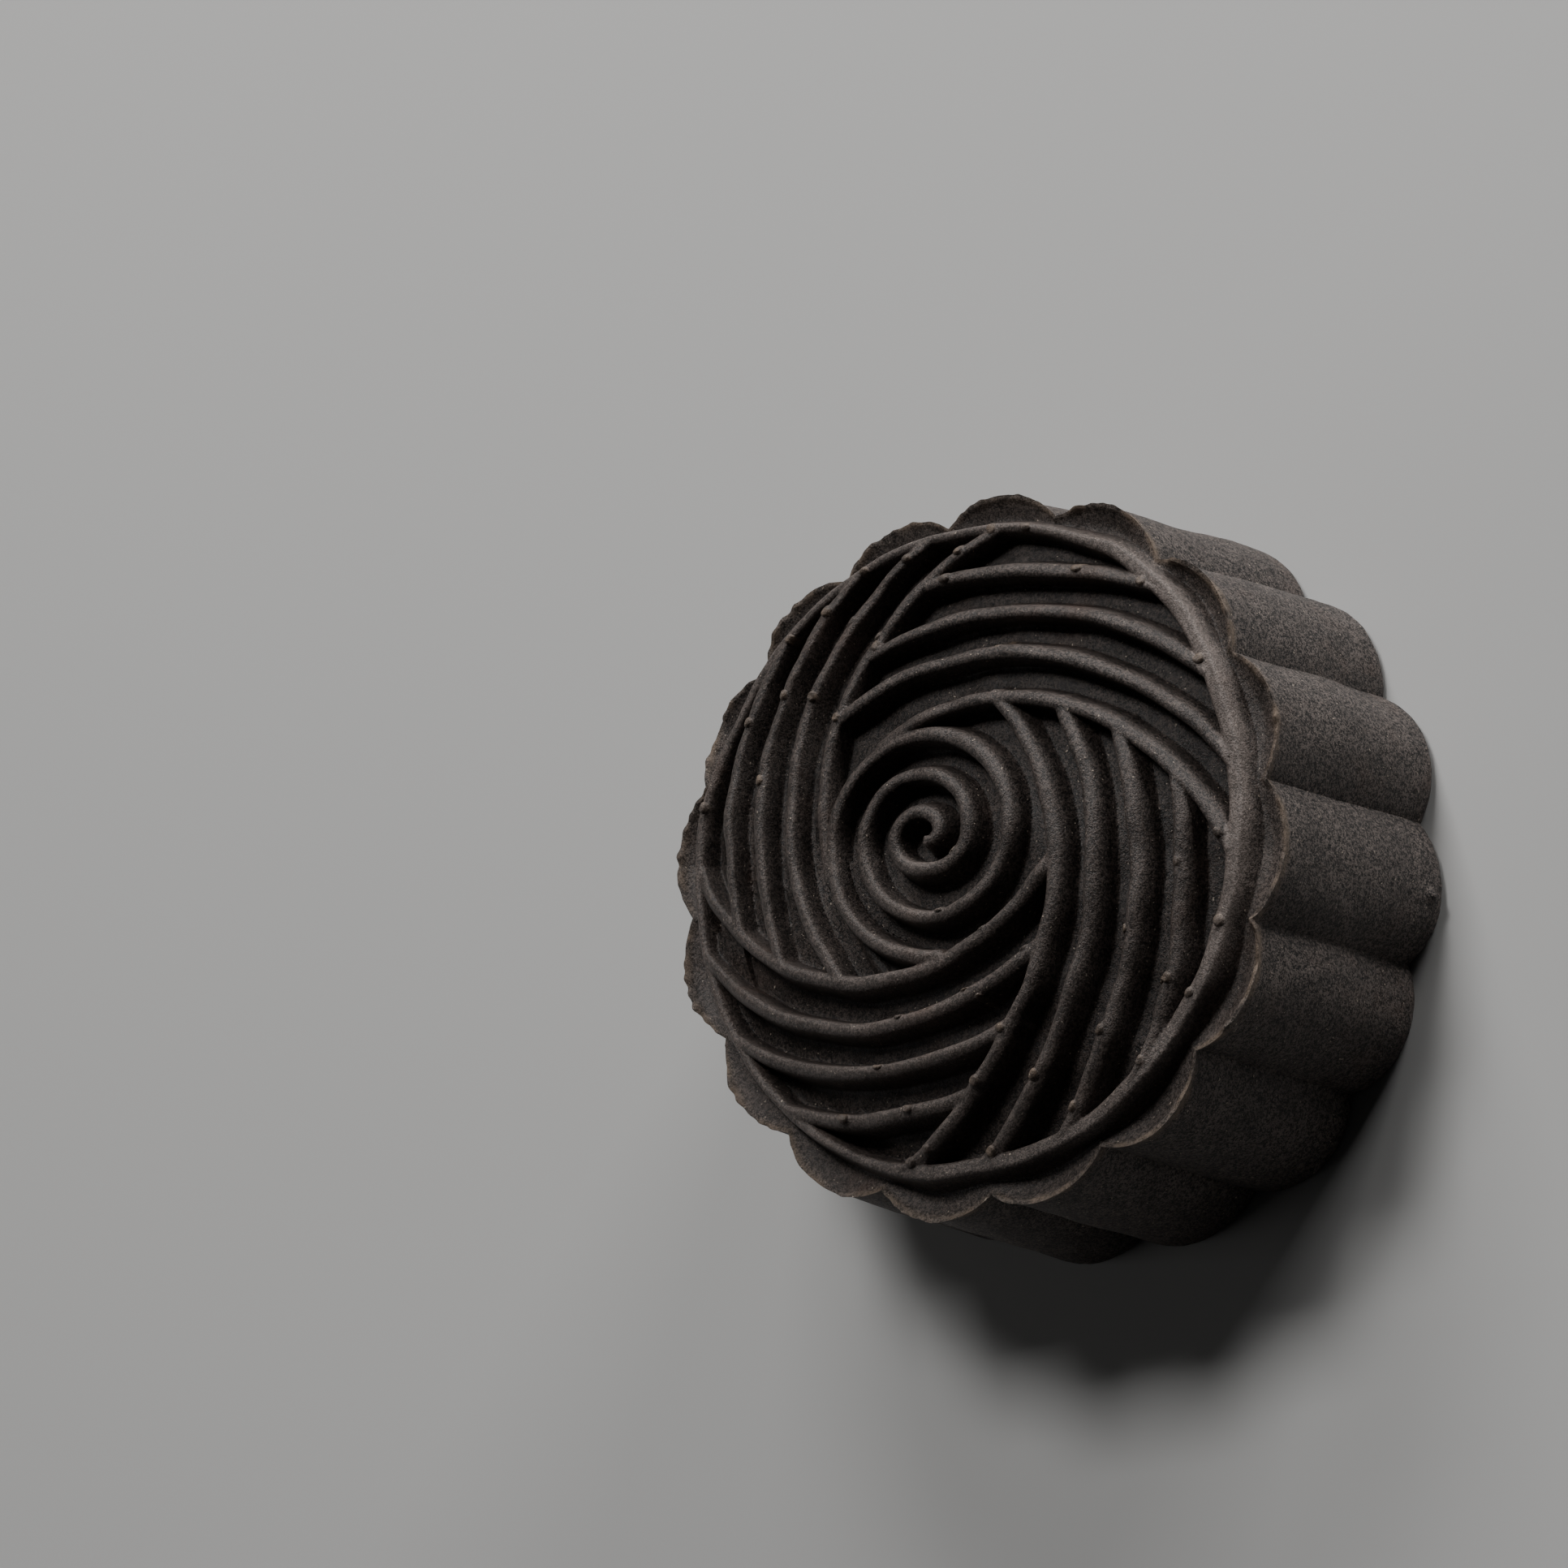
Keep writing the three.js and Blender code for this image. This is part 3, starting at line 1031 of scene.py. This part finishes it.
class Signal:
    """A socket of a shader, which can be reckoned with like a number."""

    def __init__(self, tree: bpy.types.NodeTree, socket: bpy.types.NodeSocket) -> None:
        """Wraps a socket.

        Args:
            tree: The node tree it belongs to.
            socket: The output socket.
        """
        self.tree = tree
        self.socket = socket

    def node(self, kind: str, settings: dict, inputs: dict, output: str | int = 0) -> Signal:
        """Adds a node and returns one of its outputs.

        Args:
            kind: Type of the node.
            settings: Properties to set on it.
            inputs: Signals or constants for its inputs, by name or number.
            output: Name or number of the output.

        Returns:
            The output as a signal.
        """
        node = self.tree.nodes.new(kind)
        for name, value in settings.items():
            setattr(node, name, value)
        for name, value in inputs.items():
            if isinstance(value, Signal):
                self.tree.links.new(value.socket, node.inputs[name])
            else:
                node.inputs[name].default_value = value
        return Signal(self.tree, node.outputs[output])

    def _math(self, operation: str, first: Signal | float, second: Signal | float) -> Signal:
        """Joins two values by a Math node."""
        return self.node("ShaderNodeMath", {"operation": operation}, {0: first, 1: second})

    def __add__(self, other: Signal | float) -> Signal:
        """Adds."""
        return self._math("ADD", self, other)

    def __radd__(self, other: float) -> Signal:
        """Adds."""
        return self._math("ADD", other, self)

    def __sub__(self, other: Signal | float) -> Signal:
        """Subtracts."""
        return self._math("SUBTRACT", self, other)

    def __rsub__(self, other: float) -> Signal:
        """Subtracts from a number."""
        return self._math("SUBTRACT", other, self)

    def __mul__(self, other: Signal | float) -> Signal:
        """Multiplies."""
        return self._math("MULTIPLY", self, other)

    def blend(self, first: Signal | Colour, second: Signal | Colour) -> Signal:
        """Mixes two colours by this signal."""
        inputs = {0: self, MIX_FIRST: first, MIX_SECOND: second}
        return self.node("ShaderNodeMix", {"data_type": "RGBA"}, inputs, MIX_RESULT)


@dataclass(frozen=True)
class Blotches:
    """Irregular blotches of one size, with a number of finer layers that are weaker."""

    size: float
    detail: float = 2.0
    roughness: float = 0.5

    def over(self, place: Signal) -> Signal:
        """The blotches over a position."""
        inputs = {"Vector": place, "Scale": 1.0 / self.size}
        inputs |= {"Detail": self.detail, "Roughness": self.roughness}
        return place.node("ShaderNodeTexNoise", {}, inputs, "Fac")


@dataclass(frozen=True)
class Ramp:
    """A soft rise in strength, from least to most, while a signal rises from low to high."""

    low: float
    high: float
    least: float = 0.0
    most: float = 1.0

    def of(self, signal: Signal) -> Signal:
        """The strength for a signal."""
        inputs = {"Value": signal, "From Min": self.low, "From Max": self.high}
        inputs |= {"To Min": self.least, "To Max": self.most}
        return signal.node("ShaderNodeMapRange", {"interpolation_type": "SMOOTHSTEP"}, inputs)


@dataclass(frozen=True)
class CrustFinish:
    """Nearly black baked crust, fine grained, lighter on the ridges from wear and painted highlight, darker
    in the grooves from painted shade, with a soft oily sheen.
    """

    pit: Colour = (0.008, 0.007, 0.0065, 1.0)
    crumb: Colour = (0.078, 0.061, 0.053, 1.0)
    # Paler colours of the crests, partly from wear and partly as painted highlight.
    worn_and_highlit_pit: Colour = (0.085, 0.069, 0.061, 1.0)
    worn_and_highlit_crumb: Colour = (0.19, 0.155, 0.138, 1.0)
    dry_pit: Colour = (0.009, 0.008, 0.0076, 1.0)
    dry_crumb: Colour = (0.14, 0.115, 0.103, 1.0)
    lip: Colour = (0.16, 0.118, 0.086, 1.0)
    rusty: Colour = (0.07, 0.038, 0.026, 1.0)
    speck: Colour = (0.42, 0.35, 0.28, 1.0)
    # Painted shade: how much darker the groove floors are painted.
    painted_groove_shade: float = 0.12
    fine_grain: Blotches = Blotches(0.15 * MM, 3.0, 0.65)
    coarse_grain: Blotches = Blotches(0.345 * MM)
    fine_share: float = 0.65
    mottles: Blotches = Blotches(2.6 * MM, 3.0, 0.55)
    clouds: Blotches = Blotches(9.0 * MM)
    specks: Blotches = Blotches(0.3 * MM, 1.0)
    speckle: Ramp = Ramp(0.42, 0.6)
    mottle_shade: Ramp = Ramp(0.3, 0.75, 0.75, 1.25)
    crest_even: float = 0.8
    crest_cloudy: float = 0.4
    rust_clouds: Ramp = Ramp(0.5, 0.75)
    rust_mottles: Ramp = Ramp(0.35, 0.7, 0.0, 0.4)
    lip_grain: Ramp = Ramp(0.2, 0.6)
    lip_mottles: Ramp = Ramp(0.4, 0.62, 0.2, 0.95)
    speck_peaks: Ramp = Ramp(0.745, 0.78, 0.0, 0.8)
    grain_depth: float = 0.14 * MM
    roughness: float = 0.42
    dry_roughness: float = 0.2
    grain_roughness: float = 0.35
    sheen: float = 0.28

    def paint(self, piece: bpy.types.Object) -> None:
        """Gives the finish to a piece."""
        paint = bpy.data.materials.new("mooncake_crust")
        paint.use_nodes = True
        tree = paint.node_tree
        shader = tree.nodes["Principled BSDF"]
        shader.inputs["Specular IOR Level"].default_value = self.sheen
        place = Signal(tree, tree.nodes.new("ShaderNodeTexCoord").outputs["Object"])
        groove, crest, lip, wall = (
            place.node("ShaderNodeAttribute", {"attribute_name": name}, {}, "Fac")
            for name in ("groove", "crest", "lip", "wall")
        )
        coarse = self.coarse_grain.over(place) * (1.0 - self.fine_share)
        grain = self.fine_grain.over(place) * self.fine_share + coarse
        mottles = self.mottles.over(place)
        clouds = self.clouds.over(place)
        # Painted shade in the grooves, darker with depth, times mottled tone that varies at random.
        shade = (1.0 - groove * self.painted_groove_shade) * self.mottle_shade.of(mottles)
        tone = self.speckle.of(grain) * shade
        # Paler crests, partly from wear and partly as painted highlight.
        worn = crest * (self.crest_even + clouds * self.crest_cloudy)
        colour = worn.blend(tone.blend(self.pit, self.crumb), tone.blend(self.worn_and_highlit_pit, self.worn_and_highlit_crumb))
        colour = wall.blend(colour, tone.blend(self.dry_pit, self.dry_crumb))
        rust = self.rust_clouds.of(clouds) * self.rust_mottles.of(mottles)
        colour = rust.blend(colour, self.rusty)
        torn = lip * self.lip_grain.of(grain) * self.lip_mottles.of(mottles)
        colour = torn.blend(colour, self.lip)
        colour = self.speck_peaks.of(self.specks.over(place)).blend(colour, self.speck)
        tree.links.new(colour.socket, shader.inputs["Base Color"])
        roughness = self.roughness + wall * self.dry_roughness + (grain - NOISE_MEAN) * self.grain_roughness
        tree.links.new(roughness.socket, shader.inputs["Roughness"])
        bump = place.node("ShaderNodeBump", {}, {"Height": grain, "Distance": self.grain_depth}, "Normal")
        tree.links.new(bump.socket, shader.inputs["Normal"])
        piece.data.materials.clear()
        piece.data.materials.append(paint)


@dataclass(frozen=True)
class Lamp:
    """A square soft lamp that shines on the mooncake."""

    name: str
    bearing: float
    elevation: float
    power: float
    size: float
    distance: float = 0.8
    aim_height: float = 14.0 * MM

    def hang(self) -> None:
        """Hangs the lamp."""
        data = bpy.data.lights.new(self.name, "AREA")
        data.energy = self.power
        data.size = self.size
        lamp = bpy.data.objects.new(self.name, data)
        bpy.context.scene.collection.objects.link(lamp)
        level, rise = polar(1.0, self.elevation)
        way = Vector((*polar(level, self.bearing), rise))
        place = Matrix.Translation(Vector((0.0, 0.0, self.aim_height)) + way * self.distance)
        lamp.matrix_world = place @ way.to_track_quat("Z", "Y").to_matrix().to_4x4()


@dataclass
class Studio:
    """Floor, lamps and camera."""

    eye: tuple[float, float, float] = (32.78 * MM, -205.19 * MM, 290.69 * MM)
    aim: tuple[float, float, float] = (-2.38 * MM, 21.68 * MM, 22.4 * MM)
    roll: float = 73.516
    lens: float = 93.168
    sensor: float = 36.0
    nearest: float = 10.0 * MM
    floor_colour: Colour = (0.5, 0.495, 0.485, 1.0)
    floor_roughness: float = 0.8
    floor_size: float = 3.0
    lamps: tuple[Lamp, ...] = (
        Lamp("key", 34.0, 26.0, 3.1, 0.3),
        Lamp("high", 35.0, 58.5, 3.5, 0.22),
        Lamp("side", -1.0, 8.0, 5.0, 0.25),
        Lamp("rim", 135.0, 12.0, 0.8, 0.5),
    )
    room_light: float = 0.01

    def floor(self) -> None:
        """Lays the pale floor."""
        deselect()
        bpy.ops.mesh.primitive_plane_add(size=self.floor_size)
        floor = bpy.context.object
        floor.name = "floor"
        paint = bpy.data.materials.new("floor")
        paint.use_nodes = True
        shader = paint.node_tree.nodes["Principled BSDF"]
        shader.inputs["Base Color"].default_value = self.floor_colour
        shader.inputs["Roughness"].default_value = self.floor_roughness
        floor.data.materials.append(paint)

    def camera(self) -> None:
        """Sets up the camera over the face."""
        data = bpy.data.cameras.new("camera")
        data.lens = self.lens
        data.sensor_width = self.sensor
        data.clip_start = self.nearest
        camera = bpy.data.objects.new("camera", data)
        bpy.context.scene.collection.objects.link(camera)
        eye, aim = Vector(self.eye), Vector(self.aim)
        level = (aim - eye).to_track_quat("-Z", "Y").to_matrix().to_4x4()
        roll = Matrix.Rotation(-math.radians(self.roll), 4, "Z")
        camera.matrix_world = Matrix.Translation(eye) @ level @ roll
        bpy.context.scene.camera = camera

    def world(self) -> None:
        """Fills the room with a weak even light."""
        world = bpy.data.worlds.new("studio")
        world.use_nodes = True
        background = world.node_tree.nodes["Background"]
        background.inputs["Color"].default_value = WHITE
        background.inputs["Strength"].default_value = self.room_light
        bpy.context.scene.world = world

    def build(self) -> None:
        """Builds all of it."""
        self.floor()
        self.camera()
        for lamp in self.lamps:
            lamp.hang()
        self.world()


def main() -> None:
    """Builds the mooncake and its studio."""
    logging.basicConfig(level=logging.INFO, format="%(name)s: %(message)s")
    crust = Crust(mesh=CrustMesh())
    piece = crust.build()
    crust.mark_wear_and_painted_light(piece)
    CrustFinish().paint(piece)
    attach(piece, "root")
    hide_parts("mooncake")
    Studio().build()


if __name__ == "__main__":
    main()
